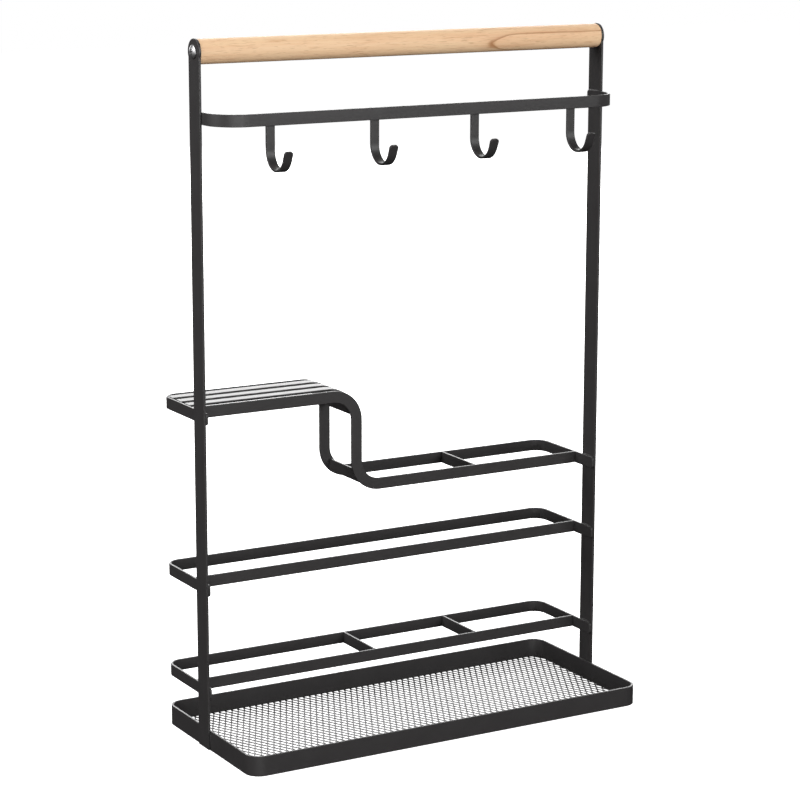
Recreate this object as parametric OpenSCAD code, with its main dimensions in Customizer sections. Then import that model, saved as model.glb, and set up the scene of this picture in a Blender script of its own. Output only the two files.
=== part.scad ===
// Counter organiser rack with a wooden carrying handle, a hook rail, a stepped
// slatted shelf, two open loops and a mesh-floored tray. X is the width, the
// hooks face -Y and Z is up. The origin is the middle of the footprint.

/* [Overall] */
// Width over the outer faces of the two uprights
frame_w = 380; // [300:1:480]
// Height to the top of the uprights' round heads
frame_h = 583; // [480:1:700]
// Depth of the tray, which is the whole depth
frame_d = 162; // [130:1:200]

/* [Steel strip] */
// Width of the flat strip that the rail, loops and shelf are bent from
strip_w = 10; // [8:0.5:12]
// Thickness of that strip and of the tray rim
strip_t = 2; // [1.6:0.1:2.6]
// Outer radius of the corners at the back of the loops and round the tray
corner_r = 13; // [8:0.5:18]

/* [Uprights] */
// Width of an upright, front to back
upright_w = 19; // [15:0.5:24]
// Thickness of an upright
upright_t = 2; // [1.6:0.1:2.6]
// How far behind the middle of the depth the uprights stand
upright_back = 4; // [-6:0.5:8]
// How far the uprights stop above the ground
foot_gap = 0.8; // [0:0.1:2]

/* [Handle] */
// Diameter of the wooden dowel
handle_d = 20; // [16:0.5:25]
// How far the uprights' round heads stand out around the dowel
head_rim = 0.5; // [0.2:0.1:2]

/* [Screws] */
// Diameter of the screw heads
screw_head_d = 11; // [9:0.5:14]
// Height of the straight edge of a screw head
screw_edge = 1; // [0.6:0.1:1.6]
// Height of the dome above that edge
screw_dome = 1.6; // [1:0.1:2.4]
// Shank diameter
screw_d = 5; // [4:0.5:6]
// Shank length inside the dowel
screw_grip = 25; // [18:1:40]
// Clearance around the shank where it passes through an upright
screw_gap = 0.2; // [0.1:0.05:0.5]

/* [Hook rail] */
// Drop from the top of the rack to the rail's top edge
rail_drop = 57; // [45:0.5:80]
// How far the rail stands in front of the uprights
rail_reach = 32.1; // [29:0.1:45]
// Outer radius of the rail's two bends
rail_r = 26; // [15:1:28]
// How far the rail's legs stop short of the uprights' rear edges
rail_short = 1; // [0:0.5:4]

/* [Hooks] */
// Number of hooks
hook_count = 4; // [4]
// From the left upright's outer face to the centre of the first hook
hook_in_left = 47; // [40:0.5:60]
// From the right upright's outer face to the centre of the last hook
hook_in_right = 52; // [40:0.5:60]
// Width of a hook
hook_w = 7.7; // [6:0.1:10]
// Inner radius of a hook's bowl
hook_r = 14; // [9:0.5:16]
// Drop from the rail's top edge to the centre of a hook's bowl
hook_drop = 29; // [20:0.5:40]
// How far round the bowl turns before the straight tip
hook_turn = 158; // [140:1:170]
// Length of the straight tip
hook_tip = 7.9; // [4:0.1:12]
// Corner radius of a hook's tip
hook_tip_r = 2.4; // [1:0.1:3]
// How far a hook's stem stops short of the rail's top edge
hook_short = 1; // [0:0.5:3]

/* [Stepped shelf] */
// Height of the upper level's top edge
shelf_hi = 284.4; // [270:0.1:320]
// Height of the lower level's top edge
shelf_lo = 205; // [180:0.5:215]
// From the left upright's outer face to the middle of the step
step_in = 155.1; // [110:0.5:180]
// Inner radius of the step's two bends
step_r = 17; // [12:0.5:20]
// Space between the uprights' rear edges and the front bars
bar_gap = 8.3; // [4:0.1:15]
// Number of slats
slat_count = 3; // [3]
// How far the slats stand above the shelf's top edge
slat_proud = 0.4; // [0:0.1:1.6]
// Angle above level at which the slats' curved ends stop
slat_stop = 22; // [15:1:40]
// How far inside the slats' curve the upper cross bar stands
hi_bar_in = 2; // [1:0.1:3]
// How high the upper cross bar's top stands above the centre of the step's bend
hi_bar_up = 12.8; // [9.8:0.1:13]
// How far inside the lower bend's outer edge the lower cross bar's foot stands
lo_bar_up = 7; // [5:0.1:9]
// From the right upright's outer face to the shelf's divider
shelf_divider_in = 107; // [90:0.5:120]

/* [Open loops] */
// Height of the middle loop's top edge
loop_mid = 141.5; // [100:0.5:170]
// Height of the lower loop's top edge
loop_low = 53.5; // [40:0.5:80]
// From the left upright's outer face to the lower loop's left divider
low_left_in = 173.5; // [120:0.5:180]
// From the right upright's outer face to the lower loop's right divider
low_right_in = 105.5; // [90:0.5:120]

/* [Tray] */
// Height of the tray rim
tray_h = 17; // [12:0.5:25]
// Thickness of the mesh floor
mesh_t = 1.2; // [0.8:0.1:2]
// Width of a mesh cell
cell_w = 11.7; // [10:0.1:30]
// Length of a mesh cell, front to back
cell_l = 22.6; // [20:0.1:50]
// Width of a mesh strand
strand = 1.8; // [1.2:0.1:3]

/* [Hidden] */
$fn = 96;

black = [0.05, 0.05, 0.05];
inner_w = frame_w - 2 * upright_t;
side_x = inner_w / 2;
back_y = frame_d / 2;
upright_front = upright_back - upright_w / 2;
upright_rear = upright_back + upright_w / 2;
bar_y = upright_rear + bar_gap;
bay_y0 = bar_y + strip_t;
bay_y1 = back_y - strip_t;

head_d = handle_d + 2 * head_rim;
handle_z = frame_h - head_d / 2;
dome_r = (pow(screw_head_d / 2, 2) + pow(screw_dome, 2)) / (2 * screw_dome);
recess_w = screw_head_d / 9;
recess_l = screw_head_d / 2;

rail_top = frame_h - rail_drop;
rail_y = upright_front - rail_reach;
hook_y = rail_y + strip_t - hook_r;
hook_z = rail_top - hook_drop;
bowl_steps = 24;
hook_pitch = (frame_w - hook_in_left - hook_in_right) / (hook_count - 1);

step_x = step_in - frame_w / 2;
hi_x = step_x - strip_w / 2 - step_r;
hi_z = shelf_hi - strip_w - step_r;
lo_x = step_x + strip_w / 2 + step_r;
lo_z = shelf_lo + step_r;
slat_r = step_r + strip_w + slat_proud;
slat_gap = (bay_y1 - bay_y0 - slat_count * strip_w) / (slat_count + 1);
lo_bar_z = shelf_lo - strip_w + lo_bar_up;

// Straight strip on edge from x0 to x1, its front face at y and its top at z
module run_x(x0, x1, y, z, h = strip_w) {
    translate([x0, y, z - h]) cube([x1 - x0, strip_t, h]);
}

// Straight strip on edge from y0 to y1, its left face at x and its top at z
module run_y(x, y0, y1, z, h = strip_w) {
    translate([x, y0, z - h]) cube([strip_t, y1 - y0, h]);
}

// Quarter bend of a strip on edge about the upright line through x, y
module corner(x, y, turn, r, z, h = strip_w) {
    translate([x, y, z - h]) rotate(turn)
        rotate_extrude(angle = 90) translate([r - strip_t, 0]) square([strip_t, h]);
}

// Turns a shape drawn on the X-Y plane up into X-Z, from y to y + thick
module stand(x, y, z, thick) {
    translate([x, y + thick, z]) rotate([90, 0, 0]) children();
}

// Arm on an upright's inner face, from the upright's front edge back to the corner
module arm(side, z) {
    run_y(side < 0 ? -side_x : side_x - strip_t, upright_front, back_y - corner_r, z);
}

module back_corner(side, z) {
    corner(side * (side_x - corner_r), back_y - corner_r, side < 0 ? 90 : 0, corner_r, z);
}

// Back run of an open loop with its two arms
module loop_back(z) {
    arm(-1, z);
    arm(1, z);
    back_corner(-1, z);
    back_corner(1, z);
    run_x(corner_r - side_x, side_x - corner_r, bay_y1, z);
}

module front_bar(z) {
    run_x(strip_t - side_x, side_x - strip_t, bar_y, z);
}

module divider(x, z) {
    run_y(x - strip_t / 2, bay_y0, bay_y1, z);
}

// Strip that steps down from the upper level to the lower one, its front face at y
module step_strip(x0, x1, y) {
    run_x(x0, hi_x, y, shelf_hi);
    stand(hi_x, y, hi_z, strip_t) step_bend(0);
    translate([step_x - strip_w / 2, y, lo_z]) cube([strip_w, strip_t, hi_z - lo_z]);
    stand(lo_x, y, lo_z, strip_t) step_bend(180);
    run_x(lo_x, x1, y, shelf_lo);
}

module step_bend(turn) {
    rotate(turn) rotate_extrude(angle = 90) translate([step_r, 0]) square([strip_w, strip_t]);
}

module upright(side) {
    color(black) difference() {
        translate([side < 0 ? -frame_w / 2 : side_x, 0, 0]) union() {
            translate([0, upright_front, foot_gap]) cube([upright_t, upright_w, handle_z - foot_gap]);
            translate([0, upright_back, handle_z]) rotate([0, 90, 0]) cylinder(d = head_d, h = upright_t);
        }
        translate([side < 0 ? -frame_w / 2 - 1 : side_x - 1, upright_back, handle_z])
            rotate([0, 90, 0]) cylinder(d = screw_d + 2 * screw_gap, h = upright_t + 2);
    }
}

module handle() {
    color([0.85, 0.66, 0.5]) difference() {
        translate([-side_x, upright_back, handle_z]) rotate([0, 90, 0]) cylinder(d = handle_d, h = inner_w);
        for (side = [-1, 1]) translate([side * side_x, upright_back, handle_z])
            rotate([0, -90 * side, 0]) translate([0, 0, -1]) cylinder(d = screw_d, h = screw_grip + 1);
    }
}

// Domed wood screw, drawn with its seat at the origin and its head towards +Z
module screw() {
    difference() {
        intersection() {
            cylinder(d = screw_head_d, h = screw_edge + screw_dome);
            translate([0, 0, screw_edge + screw_dome - dome_r]) sphere(r = dome_r);
        }
        for (turn = [0, 90]) rotate(turn)
            translate([-recess_l / 2, -recess_w / 2, screw_edge]) cube([recess_l, recess_w, screw_dome + 1]);
    }
    translate([0, 0, -screw_grip - upright_t]) cylinder(d = screw_d, h = screw_grip + upright_t);
}

module end_screw(side) {
    color("silver") translate([side * frame_w / 2, upright_back, handle_z])
        rotate([0, 90 * side, 0]) screw();
}

module hook_rail() {
    color(black) {
        for (side = [-1, 1]) {
            run_y(side < 0 ? -side_x : side_x - strip_t, rail_y + rail_r, upright_rear - rail_short, rail_top);
            corner(side * (side_x - rail_r), rail_y + rail_r, side < 0 ? 180 : 270, rail_r, rail_top);
        }
        run_x(rail_r - side_x, side_x - rail_r, rail_y, rail_top);
    }
}

// Quarter of a flat ring about the origin, from +X round to +Y
module quarter_ring(r, thick) {
    intersection() {
        difference() {
            circle(r = r + thick);
            circle(r = r);
        }
        square(r + thick + 1);
    }
}

// Hook number n, counted from the left, behind the rail and open at the top
module hook(n) {
    x = hook_in_left - frame_w / 2 + (n - 1) * hook_pitch - hook_w / 2;
    color(black) translate([x, hook_y, hook_z]) difference() {
        rotate([90, 0, 90]) linear_extrude(hook_w) hook_profile();
        for (side = [0, 1]) rotate([-hook_turn, 0, 0])
            translate([side * hook_w, hook_r - 1, -hook_tip]) mirror([side, 0, 0]) tip_corner();
    }
}

// Side view of a hook, with the bowl's centre at the origin and the stem at +X
module hook_profile() {
    stem = hook_drop - hook_short;
    along = [-sin(hook_turn), -cos(hook_turn)];
    inner = bowl(hook_r);
    outer = bowl(hook_r + strip_t);
    polygon(concat([[hook_r, stem]], inner, [inner[bowl_steps] + hook_tip * along],
                   [outer[bowl_steps] + hook_tip * along],
                   [for (i = [bowl_steps:-1:0]) outer[i]], [[hook_r + strip_t, stem]]));
}

// Points round a hook's bowl at one radius, from the stem to the tip
function bowl(r) = [for (i = [0:bowl_steps]) let (a = -hook_turn * i / bowl_steps) r * [cos(a), sin(a)]];

// What is cut off a corner of a hook's tip to round it
module tip_corner() {
    difference() {
        translate([-1, 0, -1]) cube([hook_tip_r + 1, strip_t + 2, hook_tip_r + 1]);
        translate([hook_tip_r, -1, hook_tip_r]) rotate([-90, 0, 0]) cylinder(r = hook_tip_r, h = strip_t + 4);
    }
}

module shelf_back_strip() {
    color(black) {
        arm(-1, shelf_hi);
        back_corner(-1, shelf_hi);
        step_strip(corner_r - side_x, side_x - corner_r, bay_y1);
        back_corner(1, shelf_lo);
        arm(1, shelf_lo);
    }
}

module shelf_front_strip() {
    color(black) step_strip(strip_t - side_x, side_x - strip_t, bar_y);
}

// Slat number n, counted from the front, bent down over the upper cross bar
module slat(n) {
    y = bay_y0 + n * slat_gap + (n - 1) * strip_w;
    flat_l = hi_x + side_x - strip_t;
    far = 2 * slat_r;
    color(black) stand(hi_x, y, hi_z, strip_w) linear_extrude(strip_w) {
        translate([-flat_l, slat_r - strip_t]) square([flat_l, strip_t]);
        difference() {
            quarter_ring(slat_r - strip_t, strip_t);
            polygon([[0, 0], [far, far * tan(slat_stop)], [far, 0]]);
        }
    }
}

// The bar's top corner is ground to the slats' curve, which rests on it
module upper_cross_bar() {
    color(black) intersection() {
        run_y(hi_x + slat_r - 2 * strip_t - hi_bar_in, bay_y0, bay_y1, hi_z + hi_bar_up);
        stand(hi_x, bay_y0 - 1, hi_z, frame_d) cylinder(r = slat_r - strip_t, h = frame_d);
    }
}

module lower_cross_bar() {
    color(black) run_y(step_x + strip_w / 2 - strip_t / 2, bay_y0, bay_y1, lo_bar_z + strip_w);
}

module tray_rim() {
    color(black) {
        for (side = [-1, 1]) {
            run_y(side < 0 ? -side_x : side_x - strip_t, corner_r - back_y, back_y - corner_r, tray_h, tray_h);
            corner(side * (side_x - corner_r), back_y - corner_r, side < 0 ? 90 : 0, corner_r, tray_h, tray_h);
            corner(side * (side_x - corner_r), corner_r - back_y, side < 0 ? 180 : 270, corner_r, tray_h, tray_h);
            run_x(corner_r - side_x, side_x - corner_r, side < 0 ? -back_y : bay_y1, tray_h, tray_h);
        }
    }
}

module tray_mesh() {
    floor_r = corner_r - strip_t;
    half_x = side_x - strip_t;
    half_y = bay_y1;
    cols = floor((half_x - strand) / cell_w - 0.5);
    rows = floor((half_y - strand) / cell_l - 0.5);
    half_cols = floor((half_x - strand) / cell_w) - 1;
    half_rows = floor((half_y - strand) / cell_l) - 1;
    color(black) linear_extrude(mesh_t) difference() {
        square([2 * half_x, 2 * half_y], center = true);
        for (sx = [0, 1], sy = [0, 1]) mirror([sx, 0]) mirror([0, sy]) difference() {
            translate([half_x - floor_r, half_y - floor_r]) square(floor_r + 1);
            translate([half_x - floor_r, half_y - floor_r]) circle(r = floor_r);
        }
        for (i = [-cols:cols], j = [-rows:rows]) translate([i * cell_w, j * cell_l]) cell();
        for (i = [-half_cols - 1:half_cols], j = [-half_rows - 1:half_rows])
            translate([(i + 0.5) * cell_w, (j + 0.5) * cell_l]) cell();
    }
}

// Diamond opening left between four strands
module cell() {
    w = cell_w / 2 - strand * 0.56;
    l = cell_l / 2 - strand * 1.1;
    polygon([[w, 0], [0, l], [-w, 0], [0, -l]]);
}

upright(-1);  // left_upright
upright(1);  // right_upright
handle();  // handle_dowel
end_screw(-1);  // left_screw
end_screw(1);  // right_screw
hook_rail();
hook(1);  // hook_1
hook(2);  // hook_2
hook(3);  // hook_3
hook(4);  // hook_4
shelf_back_strip();
shelf_front_strip();
slat(1);  // slat_1
slat(2);  // slat_2
slat(3);  // slat_3
upper_cross_bar();
lower_cross_bar();
color(black) divider(frame_w / 2 - shelf_divider_in, shelf_lo);  // shelf_divider
color(black) loop_back(loop_mid);  // middle_back_strip
color(black) front_bar(loop_mid);  // middle_front_bar
color(black) loop_back(loop_low);  // lower_back_strip
color(black) front_bar(loop_low);  // lower_front_bar
color(black) divider(low_left_in - frame_w / 2, loop_low);  // lower_divider_left
color(black) divider(frame_w / 2 - low_right_in, loop_low);  // lower_divider_right
tray_rim();
tray_mesh();
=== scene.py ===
import math
import bmesh
import bpy
from mathutils import Matrix, Vector


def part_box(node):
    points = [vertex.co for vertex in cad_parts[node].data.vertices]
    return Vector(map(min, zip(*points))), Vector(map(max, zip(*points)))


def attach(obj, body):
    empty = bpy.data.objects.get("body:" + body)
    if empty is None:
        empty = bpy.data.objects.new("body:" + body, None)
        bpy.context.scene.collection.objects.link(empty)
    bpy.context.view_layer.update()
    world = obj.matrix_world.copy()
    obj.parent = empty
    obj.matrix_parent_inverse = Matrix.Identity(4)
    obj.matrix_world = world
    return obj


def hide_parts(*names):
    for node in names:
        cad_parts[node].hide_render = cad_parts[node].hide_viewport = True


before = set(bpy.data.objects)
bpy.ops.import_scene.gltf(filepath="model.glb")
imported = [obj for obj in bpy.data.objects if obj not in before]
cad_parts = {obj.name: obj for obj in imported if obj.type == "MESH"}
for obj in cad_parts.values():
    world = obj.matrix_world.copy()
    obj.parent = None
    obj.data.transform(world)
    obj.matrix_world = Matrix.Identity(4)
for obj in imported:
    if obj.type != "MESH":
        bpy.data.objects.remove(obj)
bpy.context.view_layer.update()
mm = 0.001
print("frame loaded")


# ---- small node helpers

class Value:
    # a node's output that can be used in sums
    def __init__(self, net, link):
        self.net = net
        self.link = link

    def maths(self, operation, *terms):
        # one sum node; the value itself is the term if none are given
        terms = dict(enumerate(terms or (self,)))
        return self.net.add("ShaderNodeMath", {"operation": operation}, terms)

    def __add__(self, other):
        return self.maths("ADD", self, other)

    def __radd__(self, other):
        return self.maths("ADD", other, self)

    def __sub__(self, other):
        return self.maths("SUBTRACT", self, other)

    def __rsub__(self, other):
        return self.maths("SUBTRACT", other, self)

    def __mul__(self, other):
        return self.maths("MULTIPLY", self, other)

    def __rmul__(self, other):
        return self.maths("MULTIPLY", other, self)

    def __truediv__(self, other):
        return self.maths("DIVIDE", self, other)

    def __mod__(self, other):
        return self.maths("FLOORED_MODULO", self, other)

    def __pow__(self, other):
        return self.maths("POWER", self, other)

    def exponent(self):
        return self.maths("EXPONENT")

    def floor(self):
        return self.maths("FLOOR")

    def most(self, other):
        return self.maths("MINIMUM", self, other)

    def least(self, other):
        return self.maths("MAXIMUM", self, other)


class Net:
    # builds a node tree
    def __init__(self, tree):
        self.tree = tree

    def add(self, kind, settings=None, values=None, out=0):
        # one node: its settings first, then the values or links of its sockets
        node = self.tree.nodes.new(kind)
        for name, setting in (settings or {}).items():
            if name == "stops":
                self.setRamp(node, setting)
            else:
                setattr(node, name, setting)
        for name, value in (values or {}).items():
            if isinstance(value, Value):
                self.tree.links.new(value.link, node.inputs[name])
            else:
                node.inputs[name].default_value = value
        return Value(self, node.outputs[out]) if node.outputs else node

    def setRamp(self, node, stops):
        ramp = node.color_ramp
        for place, colour in stops[2:]:
            ramp.elements.new(place)
        for element, (place, colour) in zip(ramp.elements, sorted(stops)):
            element.position = place
            element.color = (*colour, 1)

    def mix(self, amount, first, second):
        # colours, by amount
        return self.add("ShaderNodeMix", {"data_type": "RGBA"}, {0: amount, 6: first, 7: second}, 2)


def newObject(name, data):
    holder = bpy.data.objects.new(name, data)
    bpy.context.scene.collection.objects.link(holder)
    return holder


def newGeometryNet(name, inputs):
    # a geometry tree with named inputs, and its group input node
    tree = bpy.data.node_groups.new(name, "GeometryNodeTree")
    tree.interface.new_socket("Geometry", in_out="INPUT", socket_type="NodeSocketGeometry")
    for label, kind in inputs.items():
        tree.interface.new_socket(label, in_out="INPUT", socket_type=kind)
    tree.interface.new_socket("Geometry", in_out="OUTPUT", socket_type="NodeSocketGeometry")
    net = Net(tree)
    entry = tree.nodes.new("NodeGroupInput")
    given = {socket.name: Value(net, socket) for socket in entry.outputs if socket.name}
    return net, given


def closeNet(net, shape, material):
    # the tree's end: real geometry with its material
    real = net.add("GeometryNodeRealizeInstances", None, {"Geometry": shape})
    coated = net.add("GeometryNodeSetMaterial", None, {"Geometry": real, "Material": material})
    leave = net.tree.nodes.new("NodeGroupOutput")
    net.tree.links.new(coated.link, leave.inputs[0])


def growMesh(name, base, tree, sizes):
    # runs a tree on a base mesh and returns the plain result as a new object
    carrier = newObject(name + "Base", base)
    modifier = carrier.modifiers.new("grow", "NODES")
    modifier.node_group = tree
    sockets = {s.name: s.identifier for s in tree.interface.items_tree if s.in_out == "INPUT"}
    for label, size in sizes.items():
        modifier[sockets[label]] = size
    bpy.context.view_layer.update()
    evaluated = carrier.evaluated_get(bpy.context.evaluated_depsgraph_get())
    mesh = bpy.data.meshes.new_from_object(evaluated)
    bpy.data.objects.remove(carrier)
    mesh.name = name
    return newObject(name, mesh)


# ---- materials

def newMaterial(name):
    material = bpy.data.materials.new(name)
    material.use_nodes = True
    material.node_tree.nodes.clear()
    return material, Net(material.node_tree)


def finishMaterial(net, values):
    shader = net.add("ShaderNodeBsdfPrincipled", None, values)
    net.add("ShaderNodeOutputMaterial", {}, {"Surface": shader})


def makePowderCoat():
    coat = dict(grain=1900, peel=665, cloud=60, gloss=0.38,
                colour=(0.024, 0.0225, 0.0228, 1), worn=(0.034, 0.032, 0.0325, 1))
    material, net = newMaterial("powderCoat")
    place = net.add("ShaderNodeTexCoord", None, None, "Object")
    cloud = net.add("ShaderNodeTexNoise", None, {"Vector": place, "Scale": coat["cloud"], "Detail": 3})
    peel = net.add("ShaderNodeTexNoise", None, {"Vector": place, "Scale": coat["peel"], "Detail": 2})
    speck = net.add("ShaderNodeTexNoise", None, {"Vector": place, "Scale": coat["grain"], "Detail": 2})
    tone = net.mix(cloud * 0.7 + speck * 0.3, coat["colour"], coat["worn"])
    rough = coat["gloss"] + cloud * 0.06 + speck * 0.08
    height = peel * 0.6 + speck * 0.4
    bump = net.add("ShaderNodeBump", None, {"Strength": 0.22, "Distance": 0.00012, "Height": height})
    finishMaterial(net, {"Base Color": tone, "Roughness": rough, "Normal": bump, "Specular IOR Level": 0.42})
    return material


def makeWood():
    # fibres run along X; the growth rings come out at the surface in one pointed figure
    wood = dict(axisY=4 * mm, axisZ=572.5 * mm, figureX=78 * mm, figureTurn=math.radians(18), ringGap=9,
                firstRing=10.1, opening=3, openingRun=14, sharpness=1.6, tail=12, tailSlope=0.25, wander=1.5,
                line=(0.35, 0.14, 0.05, 1), smudge=(0.42, 0.19, 0.085, 1), streak=(0.55, 0.27, 0.13, 1),
                pore=(0.36, 0.17, 0.08, 1))
    material, net = newMaterial("beechWood")
    place = net.add("ShaderNodeTexCoord", None, None, "Object")
    x = net.add("ShaderNodeSeparateXYZ", None, {0: place}, "X")
    y = net.add("ShaderNodeSeparateXYZ", None, {0: place}, "Y")
    z = net.add("ShaderNodeSeparateXYZ", None, {0: place}, "Z")

    def grain(stretch, detail):
        # noise drawn out along the fibres
        drawn = net.add("ShaderNodeMapping", None, {"Vector": place, "Scale": stretch})
        return net.add("ShaderNodeTexNoise", None, {"Vector": drawn, "Scale": 1, "Detail": detail})

    def rise(value, start, stop, least=0):
        # eases from the least amount to 1 while the value goes from start to stop
        return net.add("ShaderNodeMapRange", {"interpolation_type": "SMOOTHSTEP"}, {
            "Value": value, "From Min": start, "From Max": stop, "To Min": least})

    wobble = grain((14, 90, 90), 3)
    fibre = grain((28, 900, 900), 4)
    broad = grain((9, 130, 130), 2)
    pore = grain((110, 1900, 1900), 1)
    streak = grain((45, 500, 500), 2)
    along = (x - wood["figureX"]) * 1000
    toFront = (wood["axisY"] - y) * (1000 * math.cos(wood["figureTurn"]))
    toFoot = (wood["axisZ"] - z) * (1000 * math.sin(wood["figureTurn"]))
    aside = (wood["axisY"] - y) * (1000 * math.sin(wood["figureTurn"])) \
        - (wood["axisZ"] - z) * (1000 * math.cos(wood["figureTurn"]))
    closed = ((along.least(0) / wood["openingRun"]) ** wood["sharpness"] * -1).exponent()
    dip = wood["opening"] - wood["opening"] * closed + along.most(0).least(-wood["tail"]) * wood["tailSlope"]
    smudge = (along * along * (-1 / 12) - aside * aside / 3).exponent() * (0.25 + streak)
    depth = wood["firstRing"] - toFront - toFoot - dip + (wobble - 0.5) * wood["wander"]
    phase = (depth / wood["ringGap"]) % 1.0
    late = net.add("ShaderNodeValToRGB", {"stops": [
        (0.0, (1, 1, 1)), (1.0, (0.5, 0.5, 0.5)), (0.035, (0.75, 0.75, 0.75)), (0.12, (0.18, 0.18, 0.18)),
        (0.45, (0, 0, 0)), (0.97, (0.08, 0.08, 0.08))]}, {"Fac": phase})
    near = rise(along, -14, 0, 0.03)
    ringAmount = net.add("ShaderNodeRGBToBW", None, {"Color": late}) * near * 0.85
    poreAmount = rise(pore, 0.6, 0.7)
    streakAmount = rise(streak, 0.55, 0.75)
    base = net.add("ShaderNodeValToRGB", {"stops": [
        (0.25, (0.83, 0.60, 0.375)), (0.75, (0.72, 0.43, 0.245)), (0.5, (0.79, 0.53, 0.32))]},
        {"Fac": fibre * 0.4 + broad * 0.6})
    streaked = net.mix(streakAmount * 0.35, base, wood["streak"])
    ringed = net.mix(ringAmount, streaked, wood["line"])
    smudged = net.mix(smudge * 0.8, ringed, wood["smudge"])
    flecked = net.mix(poreAmount * 0.4, smudged, wood["pore"])
    bump = net.add("ShaderNodeBump", None, {
        "Strength": 0.25, "Distance": 0.0001, "Height": fibre - poreAmount * 0.5})
    finishMaterial(net, {"Base Color": flecked, "Roughness": 0.5 + fibre * 0.12, "Normal": bump,
                         "Specular IOR Level": 0.3})
    return material


def makeScrewSteel():
    material, net = newMaterial("screwSteel")
    place = net.add("ShaderNodeTexCoord", None, None, "Object")
    brushed = net.add("ShaderNodeTexNoise", None, {
        "Vector": net.add("ShaderNodeMapping", None, {"Vector": place, "Scale": (400, 400, 3000)}),
        "Scale": 1, "Detail": 3})
    tone = net.mix(brushed, (0.34, 0.34, 0.35, 1), (0.46, 0.46, 0.46, 1))
    bump = net.add("ShaderNodeBump", None, {"Strength": 0.1, "Distance": 0.00005, "Height": brushed})
    finishMaterial(net, {"Base Color": tone, "Metallic": 1.0, "Roughness": 0.36 + brushed * 0.14,
                         "Normal": bump})
    return material


powderCoat = makePowderCoat()
beechWood = makeWood()
screwSteel = makeScrewSteel()
print("materials made")


# ---- strip pieces: a flat strip swept along a path

strip = dict(width=10 * mm, thick=2 * mm, edge=0.45 * mm, shortRun=6 * mm)


def makeStripTree():
    net, given = newGeometryNet("bentStrip", {
        "Width": "NodeSocketFloat", "Thickness": "NodeSocketFloat", "Material": "NodeSocketMaterial"})
    facing = net.add("GeometryNodeInputNamedAttribute", {"data_type": "FLOAT_VECTOR"}, {"Name": "facing"})
    path = net.add("GeometryNodeMeshToCurve", None, {"Mesh": given["Geometry"]})
    turned = net.add("GeometryNodeSetCurveNormal", {"mode": "FREE"}, {"Curve": path, "Normal": facing})
    section = net.add("GeometryNodeCurvePrimitiveQuadrilateral", None, {
        "Width": given["Thickness"], "Height": given["Width"]})
    swept = net.add("GeometryNodeCurveToMesh", None, {
        "Curve": turned, "Profile Curve": section, "Fill Caps": True})
    closeNet(net, swept, given["Material"])
    return net.tree


stripTree = makeStripTree()


def steadied(stations, closed):
    # adds a station just beside each bend, so that long straight faces stay flat
    count = len(stations)
    path = []
    for i, (point, way) in enumerate(stations):
        path.append((point, way))
        if i == count - 1 and not closed:
            break
        after, afterWay = stations[(i + 1) % count]
        run = after - point
        if run.length < strip["shortRun"]:
            continue
        nudge = run.normalized() * mm
        if i > 0 or closed:
            path.append((point + nudge, way))
        if i < count - 2 or closed:
            path.append((after - nudge, afterWay))
    return path


def pathMesh(name, stations, closed=False):
    # a chain of points, each with the way the strip's flat face looks
    stations = steadied(stations, closed)
    mesh = bpy.data.meshes.new(name)
    count = len(stations)
    edges = [(i, i + 1) for i in range(count - 1)] + ([(count - 1, 0)] if closed else [])
    mesh.from_pydata([point for point, facing in stations], edges, [])
    facing = mesh.attributes.new("facing", "FLOAT_VECTOR", "POINT")
    for i, (point, way) in enumerate(stations):
        facing.data[i].vector = way
    return mesh


def bend(centre, radius, start, stop, flatways=True, side=(0, -1, 0), steps=18):
    # an arc in X-Y for a strip bent flatways, or in X-Z for one bent edgeways
    stations = []
    for i in range(steps + 1):
        angle = math.radians(start + (stop - start) * i / steps)
        out = Vector((math.cos(angle), math.sin(angle), 0) if flatways
                     else (math.cos(angle), 0, math.sin(angle)))
        stations.append((Vector(centre) + radius * out, out if flatways else Vector(side)))
    return stations


def roundEnds(mesh, spots, radius, reach):
    # rounds the corners of a strip where it ends near one of the spots
    shape = bmesh.new()
    shape.from_mesh(mesh)
    bmesh.ops.remove_doubles(shape, verts=shape.verts, dist=1e-6)
    chosen = []
    for edge in shape.edges:
        length = edge.calc_length()
        near = any((edge.verts[0].co - spot).length < reach and (edge.verts[1].co - spot).length < reach
                   for spot in spots)
        if near and abs(length - strip["thick"]) < 1e-5:
            chosen.append(edge)
    bmesh.ops.bevel(shape, geom=chosen, offset=radius, segments=6, profile=0.5, affect="EDGES")
    bmesh.ops.recalc_face_normals(shape, faces=shape.faces)
    shape.to_mesh(mesh)
    shape.free()


def finishPiece(piece, slotName, *nodes, edge=strip["edge"], smooth=True):
    # round edges, even shading, and its place in the frame
    if smooth:
        for face in piece.data.polygons:
            face.use_smooth = True
    if edge:
        rounded = piece.modifiers.new("edges", "BEVEL")
        rounded.width = edge
        rounded.segments = 3
        rounded.limit_method = "ANGLE"
        rounded.angle_limit = math.radians(40)
        rounded.harden_normals = False
        even = piece.modifiers.new("shading", "WEIGHTED_NORMAL")
        even.keep_sharp = True
        even.weight = 60
    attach(piece, "root")
    if nodes:
        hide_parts(*nodes)
    return piece


def stripPiece(name, stations, node, width=strip["width"], closed=False, ends=(), endRound=2.6 * mm):
    sizes = {"Width": width, "Thickness": strip["thick"], "Material": powderCoat}
    piece = growMesh(name, pathMesh(name, stations, closed), stripTree, sizes)
    spots = [stations[i][0] for i in ends]
    roundEnds(piece.data, spots, endRound, width * 0.6)
    return finishPiece(piece, "black_steel", node)


def corners(node):
    low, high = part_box(node)
    return Vector(low), Vector(high)


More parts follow.
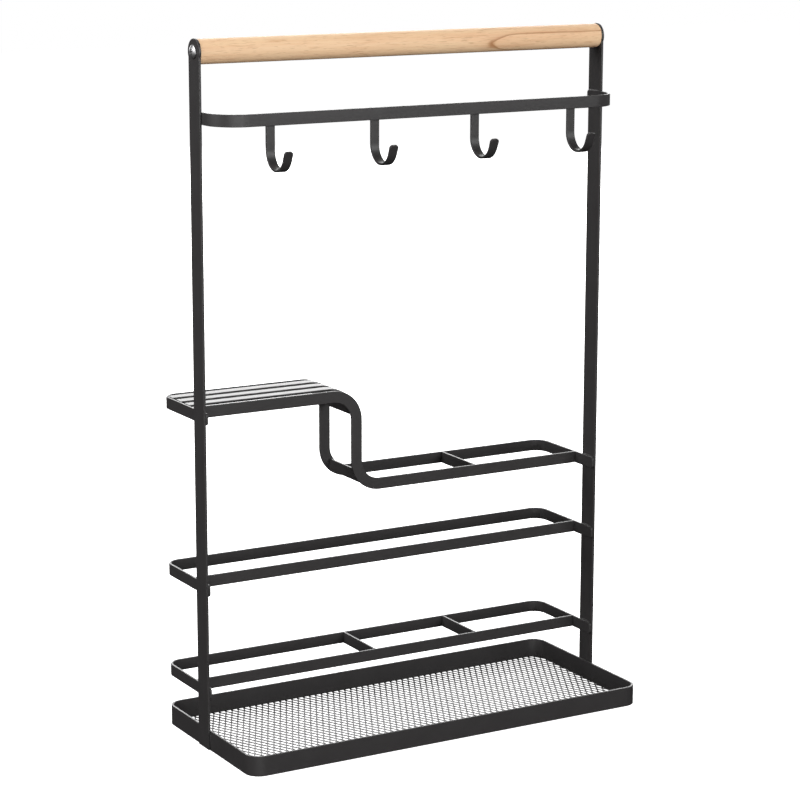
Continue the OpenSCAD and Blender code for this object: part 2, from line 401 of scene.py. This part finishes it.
def uPath(low, high, cornerR, openBack):
    # three sides of a loop that is open to the back or to the front
    half = strip["thick"] / 2
    z = (low.z + high.z) / 2
    x0, x1 = low.x + half, high.x - half
    r = cornerR - half
    if openBack:
        run, end = low.y + half, high.y
        first = bend((x0 + r, run + r, z), r, 180, 270)
        second = bend((x1 - r, run + r, z), r, 270, 360)
    else:
        run, end = high.y - half, low.y
        first = bend((x0 + r, run - r, z), r, 180, 90)
        second = bend((x1 - r, run - r, z), r, 90, 0)
    left = [(Vector((x0, end, z)), Vector((-1, 0, 0)))]
    right = [(Vector((x1, end, z)), Vector((1, 0, 0)))]
    return left + first + second + right


def straightPath(low, high):
    # a short or long bar on edge, lying along X or along Y
    z = (low.z + high.z) / 2
    if high.x - low.x > high.y - low.y:
        y = (low.y + high.y) / 2
        return [(Vector((x, y, z)), Vector((0, -1, 0))) for x in (low.x, high.x)]
    x = (low.x + high.x) / 2
    return [(Vector((x, y, z)), Vector((-1, 0, 0))) for y in (low.y, high.y)]


def makeLoops():
    loops = dict(railCorner=26 * mm, loopCorner=13 * mm)
    low, high = corners("hook_rail")
    stripPiece("hookRail", uPath(low, high, loops["railCorner"], True), "hook_rail", ends=(0, -1))
    for name, node in (("middleLoop", "middle_back_strip"), ("lowerLoop", "lower_back_strip")):
        low, high = corners(node)
        stripPiece(name, uPath(low, high, loops["loopCorner"], False), node, ends=(0, -1))
    bars = ("middle_front_bar", "lower_front_bar", "lower_divider_left", "lower_divider_right",
            "shelf_divider", "upper_cross_bar", "lower_cross_bar")
    for node in bars:
        low, high = corners(node)
        first, *rest = node.split("_")
        stripPiece(first + "".join(word.title() for word in rest), straightPath(low, high), node)


step = dict(bend=17 * mm, corner=13 * mm, slatStop=22)


def stepPlaces():
    # centres of the shelf's two bends
    low, high = corners("shelf_front_strip")
    barLow, barHigh = corners("lower_cross_bar")
    middle = (barLow.x + barHigh.x) / 2 - strip["width"] / 2
    reach = strip["width"] / 2 + step["bend"]
    upper = (middle - reach, high.z - strip["width"] - step["bend"])
    lower = (middle + reach, low.z + strip["width"] + step["bend"])
    return upper, lower


def stepPath(x0, x1, y, side=(0, -1, 0)):
    # along the upper level, down the step and along the lower level
    upper, lower = stepPlaces()
    r = step["bend"] + strip["width"] / 2
    path = [(Vector((x0, y, upper[1] + r)), Vector(side))]
    path += bend((upper[0], y, upper[1]), r, 90, 0, flatways=False, steps=24)
    path += bend((lower[0], y, lower[1]), r, 180, 270, flatways=False, steps=24)
    path.append((Vector((x1, y, lower[1] - r)), Vector(side)))
    return path


def makeShelf():
    half = strip["thick"] / 2
    low, high = corners("shelf_front_strip")
    y = (low.y + high.y) / 2
    stripPiece("shelfFront", stepPath(low.x, high.x, y), "shelf_front_strip")
    low, high = corners("shelf_back_strip")
    x0, x1, y = low.x + half, high.x - half, high.y - half
    r = step["corner"] - half
    topZ, footZ = high.z - strip["width"] / 2, low.z + strip["width"] / 2
    path = [(Vector((x0, low.y, topZ)), Vector((-1, 0, 0)))]
    path += bend((x0 + r, y - r, topZ), r, 180, 90)
    path += stepPath(x0 + r, x1 - r, y, (0, 1, 0))[1:-1]
    path = [(point, Vector((0, 1, 0)) if abs(point.y - y) < 1e-6 else way) for point, way in path]
    path += bend((x1 - r, y - r, footZ), r, 90, 0)
    path.append((Vector((x1, low.y, footZ)), Vector((1, 0, 0))))
    stripPiece("shelfBack", path, "shelf_back_strip", ends=(0, -1))
    upper = stepPlaces()[0]
    for n in (1, 2, 3):
        low, high = corners(f"slat_{n}")
        y = (low.y + high.y) / 2
        r = high.z - half - upper[1]
        slat = [(Vector((low.x, y, upper[1] + r)), Vector((0, 0, 1)))]
        for i in range(19):
            angle = math.radians(90 - (90 - step["slatStop"]) * i / 18)
            out = Vector((math.cos(angle), 0, math.sin(angle)))
            slat.append((Vector((upper[0], y, upper[1])) + r * out, out))
        stripPiece(f"slat{n}", slat, f"slat_{n}")


def makeTrayRim():
    rim = dict(corner=13 * mm)
    low, high = corners("tray_rim")
    half = strip["thick"] / 2
    z = (low.z + high.z) / 2
    r = rim["corner"] - half
    path = []
    for sx, sy, start in ((1, 1, 0), (-1, 1, 90), (-1, -1, 180), (1, -1, 270)):
        x = (high.x if sx > 0 else low.x) - sx * (half + r)
        y = (high.y if sy > 0 else low.y) - sy * (half + r)
        path += bend((x, y, z), r, start, start + 90)
    stripPiece("trayRim", path, "tray_rim", width=high.z - low.z, closed=True)


def makeHooks():
    hook = dict(bowl=14 * mm, turn=158, tip=7.9 * mm, tipRound=2.4 * mm)
    for n in (1, 2, 3, 4):
        low, high = corners(f"hook_{n}")
        half = strip["thick"] / 2
        x = (low.x + high.x) / 2
        r = hook["bowl"] + half
        centre = Vector((x, high.y - half - r, low.z + half + r))
        path = [(Vector((x, high.y - half, high.z)), Vector((0, 1, 0)))]
        for i in range(33):
            angle = math.radians(-hook["turn"] * i / 32)
            out = Vector((0, math.cos(angle), math.sin(angle)))
            path.append((centre + r * out, out))
        out = path[-1][1]
        path.append((path[-1][0] + hook["tip"] * Vector((0, -abs(out.z), abs(out.y))), out))
        stripPiece(f"hook{n}", path, f"hook_{n}", width=high.x - low.x, ends=(-1,), endRound=hook["tipRound"])


makeLoops()
makeShelf()
makeTrayRim()
makeHooks()
print("strips bent")


# ---- uprights, handle and screws

def makeUprights():
    plate = dict(head=21 * mm, width=19 * mm, steps=40)
    for name, node in (("uprightLeft", "left_upright"), ("uprightRight", "right_upright")):
        low, high = corners(node)
        y = (low.y + high.y) / 2
        r = plate["head"] / 2
        z = high.z - r
        shoulder = math.acos(plate["width"] / plate["head"])
        outline = [(y - plate["width"] / 2, low.z), (y + plate["width"] / 2, low.z)]
        for i in range(plate["steps"] + 1):
            angle = -shoulder + (math.pi + 2 * shoulder) * i / plate["steps"]
            outline.append((y + r * math.cos(angle), z + r * math.sin(angle)))
        shape = bmesh.new()
        face = shape.faces.new([shape.verts.new((low.x, *point)) for point in outline])
        grown = bmesh.ops.extrude_face_region(shape, geom=[face])
        moved = [v for v in grown["geom"] if isinstance(v, bmesh.types.BMVert)]
        bmesh.ops.translate(shape, verts=moved, vec=(high.x - low.x, 0, 0))
        bmesh.ops.recalc_face_normals(shape, faces=shape.faces)
        mesh = bpy.data.meshes.new(name)
        shape.to_mesh(mesh)
        shape.free()
        mesh.materials.append(powderCoat)
        piece = newObject(name, mesh)
        finishPiece(piece, "black_steel", node)


def turned(profile, steps):
    # a solid turned about Z from (radius, height) pairs, closed at both ends
    shape = bmesh.new()
    rings = []
    for radius, height in profile:
        if radius < 1e-9:
            rings.append([shape.verts.new((0, 0, height))])
            continue
        rings.append([shape.verts.new((radius * math.cos(2 * math.pi * i / steps),
                                       radius * math.sin(2 * math.pi * i / steps), height))
                      for i in range(steps)])
    for lower, upper in zip(rings, rings[1:]):
        for i in range(steps):
            j = (i + 1) % steps
            below = [lower[n % len(lower)] for n in (i, j)]
            above = [upper[n % len(upper)] for n in (j, i)]
            rim = list(dict.fromkeys(below + above))
            if len(rim) > 2:
                shape.faces.new(rim)
    bmesh.ops.recalc_face_normals(shape, faces=shape.faces)
    return shape


def makeHandle():
    dowel = dict(ease=0.6 * mm, steps=96)
    low, high = corners("handle_dowel")
    r = (high.z - low.z) / 2
    length = high.x - low.x
    profile = [(0, 0)]
    for i in range(7):
        angle = math.radians(15 * i)
        profile.append((r - dowel["ease"] * (1 - math.sin(angle)), dowel["ease"] * (1 - math.cos(angle))))
    profile += [(rad, length - h) for rad, h in reversed(profile)]
    shape = turned(profile, dowel["steps"])
    place = Matrix.Translation((low.x, (low.y + high.y) / 2, (low.z + high.z) / 2))
    shape.transform(place @ Matrix.Rotation(math.radians(90), 4, "Y"))
    mesh = bpy.data.meshes.new("handle")
    shape.to_mesh(mesh)
    shape.free()
    mesh.materials.append(beechWood)
    piece = newObject("handle", mesh)
    finishPiece(piece, "wood", "handle_dowel", edge=0)


def crossRecess(screw):
    # the cutter for a screw's cross recess, narrower at its foot
    shape = bmesh.new()
    top = screw["edge"] + screw["dome"]
    for turn in (0, 90):
        arm = bmesh.ops.create_cube(shape, size=1)["verts"]
        for v in arm:
            taper, lift = (1.0, screw["overrun"]) if v.co.z > 0 else (screw["taper"], 0)
            v.co = Vector((v.co.x * screw["reach"] * taper, v.co.y * screw["slot"] * taper,
                           top - screw["deep"] / 2 + v.co.z * screw["deep"] + lift))
        spin = Matrix.Rotation(math.radians(turn + screw["turn"]), 3, "Z")
        bmesh.ops.rotate(shape, verts=arm, cent=(0, 0, 0), matrix=spin)
    mesh = bpy.data.meshes.new("recess")
    shape.to_mesh(mesh)
    shape.free()
    return newObject("recess", mesh)


def cutAway(piece, tool):
    # takes the tool out of the piece, and deletes the tool
    cut = piece.modifiers.new("recess", "BOOLEAN")
    cut.object = tool
    cut.operation = "DIFFERENCE"
    cut.solver = "EXACT"
    cut.use_self = True
    bpy.context.view_layer.update()
    evaluated = piece.evaluated_get(bpy.context.evaluated_depsgraph_get())
    done = bpy.data.meshes.new_from_object(evaluated)
    piece.modifiers.clear()
    piece.data = done
    bpy.data.objects.remove(tool)


def makeScrews():
    screw = dict(head=11 * mm, edge=1.0 * mm, dome=1.6 * mm, slot=1.3 * mm, reach=5.6 * mm, deep=1.5 * mm,
                 taper=0.7, overrun=0.5 * mm, turn=20)
    r = screw["head"] / 2
    top = screw["edge"] + screw["dome"]
    domeR = (r * r + screw["dome"] ** 2) / (2 * screw["dome"])
    profile = [(0, 0), (r - 0.3 * mm, 0), (r - 0.05 * mm, 0.12 * mm), (r, 0.35 * mm)]
    for i in range(13):
        angle = math.asin(r / domeR) * (1 - i / 12)
        profile.append((domeR * math.sin(angle), top - domeR * (1 - math.cos(angle))))
    for name, node, side in (("screwLeft", "left_screw", -1), ("screwRight", "right_screw", 1)):
        low, high = corners(node)
        seat = (high.x if side > 0 else low.x) - side * top
        shape = turned(profile, 64)
        mesh = bpy.data.meshes.new(name)
        shape.to_mesh(mesh)
        shape.free()
        piece = newObject(name, mesh)
        cutAway(piece, crossRecess(screw))
        place = Matrix.Translation((seat, (low.y + high.y) / 2, (low.z + high.z) / 2))
        piece.data.transform(place @ Matrix.Rotation(math.radians(90 * side), 4, "Y"))
        piece.data.materials.clear()
        piece.data.materials.append(screwSteel)
        finishPiece(piece, "screw_steel", node, edge=0.12 * mm)


makeUprights()
makeHandle()
makeScrews()
print("uprights, handle and screws made")


# ---- expanded metal floor

def makeMeshTree():
    # strands zigzag from front to back; neighbours touch along short bonds
    net, given = newGeometryNet("expandedMetal", {
        "Strands": "NodeSocketInt", "Steps": "NodeSocketInt", "Cell Width": "NodeSocketFloat",
        "Cell Length": "NodeSocketFloat", "Bond": "NodeSocketFloat", "Strand Width": "NodeSocketFloat",
        "Strand Height": "NodeSocketFloat", "Half Width": "NodeSocketFloat", "Half Depth": "NodeSocketFloat",
        "Corner": "NodeSocketFloat", "Centre Z": "NodeSocketFloat", "Material": "NodeSocketMaterial"})
    line = net.add("GeometryNodeMeshLine", None, {"Count": given["Steps"], "Offset": (0, 0.001, 0)})
    rows = net.add("GeometryNodeMeshLine", None, {"Count": given["Strands"], "Offset": (0.001, 0, 0)})
    copies = net.add("GeometryNodeInstanceOnPoints", None, {"Points": rows, "Instance": line})
    real = net.add("GeometryNodeRealizeInstances", None, {"Geometry": copies})
    index = net.add("GeometryNodeInputIndex")
    strand = (index / given["Steps"]).floor()
    k = index - strand * given["Steps"]
    pair = (k / 2).floor()
    onRight = (pair + strand) % 2
    halfCell = given["Cell Width"] / 2
    strandHalf = given["Strand Width"] / 2
    x = strand * halfCell + strandHalf + onRight * (halfCell - given["Strand Width"]) \
        - halfCell * given["Strands"] / 2
    y = (pair - (given["Steps"] / 4)) * given["Cell Length"] / 2 + ((k % 2) - 0.5) * given["Bond"]
    # strands end on the rim's inner face, round its corners too
    inX = x.least(given["Half Width"] * -1).most(given["Half Width"])
    inY = y.least(given["Half Depth"] * -1).most(given["Half Depth"])
    overX = (inX.maths("ABSOLUTE") - given["Half Width"] + given["Corner"]).least(0)
    overY = (inY.maths("ABSOLUTE") - given["Half Depth"] + given["Corner"]).least(0)
    far = (overX * overX + overY * overY).maths("SQRT")
    pull = (given["Corner"] / far.least(0.0001)).most(1)
    newX = inX - inX.maths("SIGN") * overX * (1 - pull)
    newY = inY - inY.maths("SIGN") * overY * (1 - pull)
    place = net.add("ShaderNodeCombineXYZ", None, {"X": newX, "Y": newY, "Z": given["Centre Z"]})
    zigzag = net.add("GeometryNodeSetPosition", None, {"Geometry": real, "Position": place})
    path = net.add("GeometryNodeMeshToCurve", None, {"Mesh": zigzag})
    turned = net.add("GeometryNodeSetCurveNormal", {"mode": "Z_UP"}, {"Curve": path})
    section = net.add("GeometryNodeCurvePrimitiveQuadrilateral", None, {
        "Width": given["Strand Width"], "Height": given["Strand Height"]})
    swept = net.add("GeometryNodeCurveToMesh", None, {"Curve": turned, "Profile Curve": section,
                                                      "Fill Caps": True})
    closeNet(net, swept, given["Material"])
    return net.tree


def makeTrayMesh():
    floor = dict(cellWidth=5.83 * mm, cellLength=11.3 * mm, bond=1.6 * mm, strand=0.9 * mm, high=0.6 * mm,
                 corner=11 * mm)
    low, high = corners("tray_mesh")
    width, depth, _ = high - low
    strands = math.ceil(width / floor["cellWidth"] * 2)
    steps = 2 * math.ceil(depth / floor["cellLength"] * 2) + 2
    blank = bpy.data.meshes.new("blank")
    piece = growMesh("trayMesh", blank, makeMeshTree(), {
        "Strands": strands, "Steps": steps, "Cell Width": floor["cellWidth"],
        "Cell Length": floor["cellLength"], "Bond": floor["bond"], "Strand Width": floor["strand"],
        "Strand Height": floor["high"], "Half Width": width / 2, "Half Depth": depth / 2,
        "Corner": floor["corner"], "Centre Z": (low.z + high.z) / 2, "Material": powderCoat})
    finishPiece(piece, "black_steel", "tray_mesh", edge=0, smooth=False)
    print("tray mesh", len(piece.data.polygons), "faces")


makeTrayMesh()


# ---- weld beads

weld = dict(radius=0.75 * mm, ripple=0.12, ripples=26, points=14, lumps=700, inset=3 * mm)


def makeBeadTree():
    net, given = newGeometryNet("weldBead", {
        "Radius": "NodeSocketFloat", "Ripple": "NodeSocketFloat", "Material": "NodeSocketMaterial"})
    path = net.add("GeometryNodeMeshToCurve", None, {"Mesh": given["Geometry"]})
    fine = net.add("GeometryNodeResampleCurve", None, {"Curve": path, "Count": weld["points"]})
    along = net.add("GeometryNodeSplineParameter", None, None, "Factor")
    wave = (along * weld["ripples"]).maths("SINE")
    taper = (4.4 * along * (1 - along)).most(1) ** 0.5
    lump = net.add("ShaderNodeTexNoise", None, {"Scale": weld["lumps"], "Detail": 1})
    size = taper * (1 + wave * given["Ripple"]) * (0.65 + lump * 0.7)
    section = net.add("GeometryNodeCurvePrimitiveCircle", None, {"Resolution": 8, "Radius": given["Radius"]})
    swept = net.add("GeometryNodeCurveToMesh", None, {
        "Curve": fine, "Profile Curve": section, "Scale": size, "Fill Caps": True})
    closeNet(net, swept, given["Material"])
    return net.tree


def beadLines():
    # pairs of points along every seam that is welded
    lines = []
    leftLow, leftHigh = corners("left_upright")
    front, rear = leftLow.y + mm, leftHigh.y - mm
    for node in ("hook_rail", "shelf_back_strip", "middle_back_strip", "lower_back_strip"):
        low, high = corners(node)
        levels = {-1: (low.z, high.z), 1: (low.z, high.z)}
        if node == "shelf_back_strip":
            levels = {-1: (high.z - strip["width"], high.z), 1: (low.z, low.z + strip["width"])}
        for side in (-1, 1):
            x = high.x * side
            for z in levels[side]:
                lines.append(((x, front + weld["inset"], z), (x, rear - weld["inset"], z)))
    for node in ("shelf_front_strip", "middle_front_bar", "lower_front_bar"):
        low, high = corners(node)
        tops = {-1: high.z, 1: low.z + strip["width"]}
        for side in (-1, 1):
            lines.append(((high.x * side, high.y, tops[side] - mm),
                          (high.x * side, high.y, tops[side] - strip["width"] + mm)))
    for node in ("lower_divider_left", "lower_divider_right", "shelf_divider", "upper_cross_bar",
                 "lower_cross_bar"):
        low, high = corners(node)
        for y in (low.y, high.y):
            lines.append(((high.x, y, low.z + mm), (high.x, y, high.z - mm)))
    for n in (1, 2, 3):
        low, high = corners(f"slat_{n}")
        lines.append(((low.x, low.y + mm, high.z - strip["thick"]),
                      (low.x, high.y - mm, high.z - strip["thick"])))
    for n in (1, 2, 3, 4):
        low, high = corners(f"hook_{n}")
        face = high.y - strip["thick"]
        lines.append(((low.x + 0.5 * mm, face, high.z), (high.x - 0.5 * mm, face, high.z)))
    low, high = corners("tray_rim")
    for side in (-1, 1):
        for y in (leftLow.y + mm, leftHigh.y - mm):
            lines.append(((high.x * side, y, 3 * mm), (high.x * side, y, high.z - mm)))
    return lines


def makeWelds():
    lines = beadLines()
    mesh = bpy.data.meshes.new("seams")
    points = [point for line in lines for point in line]
    mesh.from_pydata(points, [(2 * i, 2 * i + 1) for i in range(len(lines))], [])
    piece = growMesh("weldBeads", mesh, makeBeadTree(), {
        "Radius": weld["radius"], "Ripple": weld["ripple"], "Material": powderCoat})
    finishPiece(piece, "black_steel", edge=0)
    print(len(lines), "weld beads")


makeWelds()


# ---- floor, light and camera

def makeStage():
    stage = dict(size=14.0, drop=0.2 * mm)
    mesh = bpy.data.meshes.new("floor")
    half = stage["size"] / 2
    spots = [(-half, -half, 0), (half, -half, 0), (half, half, 0), (-half, half, 0)]
    mesh.from_pydata(spots, [], [(0, 1, 2, 3)])
    floor = newObject("floor", mesh)
    floor.location.z = -stage["drop"]
    floor.visible_glossy = False
    floor.visible_diffuse = False
    material, net = newMaterial("paleFloor")
    place = net.add("ShaderNodeTexCoord", None, None, "Object")
    cloud = net.add("ShaderNodeTexNoise", None, {"Vector": place, "Scale": 3})
    tone = net.mix(cloud, (0.93, 0.93, 0.93, 1), (0.95, 0.95, 0.95, 1))
    finishMaterial(net, {"Base Color": tone, "Roughness": 0.9, "Specular IOR Level": 0.1,
                         "Emission Color": (1, 1, 1, 1), "Emission Strength": 1.0})
    mesh.materials.append(material)


def makeLight():
    # the world and the floor are only seen; the panels give all the light on the rack
    world = bpy.data.worlds.new("studio")
    bpy.context.scene.world = world
    world.use_nodes = True
    sky = world.node_tree.nodes["Background"].inputs
    sky["Color"].default_value = (1, 1, 1, 1)
    sky["Strength"].default_value = 1.0
    world.cycles_visibility.glossy = False
    world.cycles_visibility.diffuse = False
    panels = (("back", (1.6, 3.4, 1.6), (0, 0, 0.25), 4.5, 2.6, 215),
              ("top", (0, 0.8, 2.0), (0, 0, 0.4), 1.6, 1.2, 11),
              ("front", (0.8, -2.2, 1.2), (0, 0, 0.35), 1.6, 1.2, 42),
              ("left", (-2.2, 0.3, 1.4), (0, 0, 0.35), 1.6, 1.2, 62),
              ("low", (-0.9, -2.3, 0.3), (0, 0, 0.35), 2.2, 0.5, 31),
              ("right", (2.4, 0.4, 1.3), (0, 0, 0.3), 1.6, 1.2, 16))
    for name, spot, aim, wide, high, power in panels:
        light = bpy.data.lights.new(name, "AREA")
        light.shape = "RECTANGLE"
        light.size = wide
        light.size_y = high
        light.energy = power
        lamp = newObject(name, light)
        lamp.location = spot
        lamp.rotation_euler = (Vector(aim) - Vector(spot)).to_track_quat("-Z", "Y").to_euler()
        lamp.visible_camera = False


def makeCamera():
    eye = dict(spot=(-1.0632, -1.8446, 0.7307), turn=-29.826, down=12.077, roll=0.094, lens=116.71)
    camera = bpy.data.cameras.new("camera")
    camera.lens = eye["lens"]
    camera.sensor_width = 36
    holder = newObject("camera", camera)
    aim = Matrix.Rotation(math.radians(eye["turn"]), 4, "Z")
    tilt = Matrix.Rotation(math.radians(90 - eye["down"]), 4, "X")
    roll = Matrix.Rotation(math.radians(eye["roll"]), 4, "Z")
    holder.matrix_world = Matrix.Translation(eye["spot"]) @ aim @ tilt @ roll
    bpy.context.scene.camera = holder


makeStage()
makeLight()
makeCamera()
bpy.context.scene.view_settings.view_transform = "Standard"
print("stage, light and camera set")
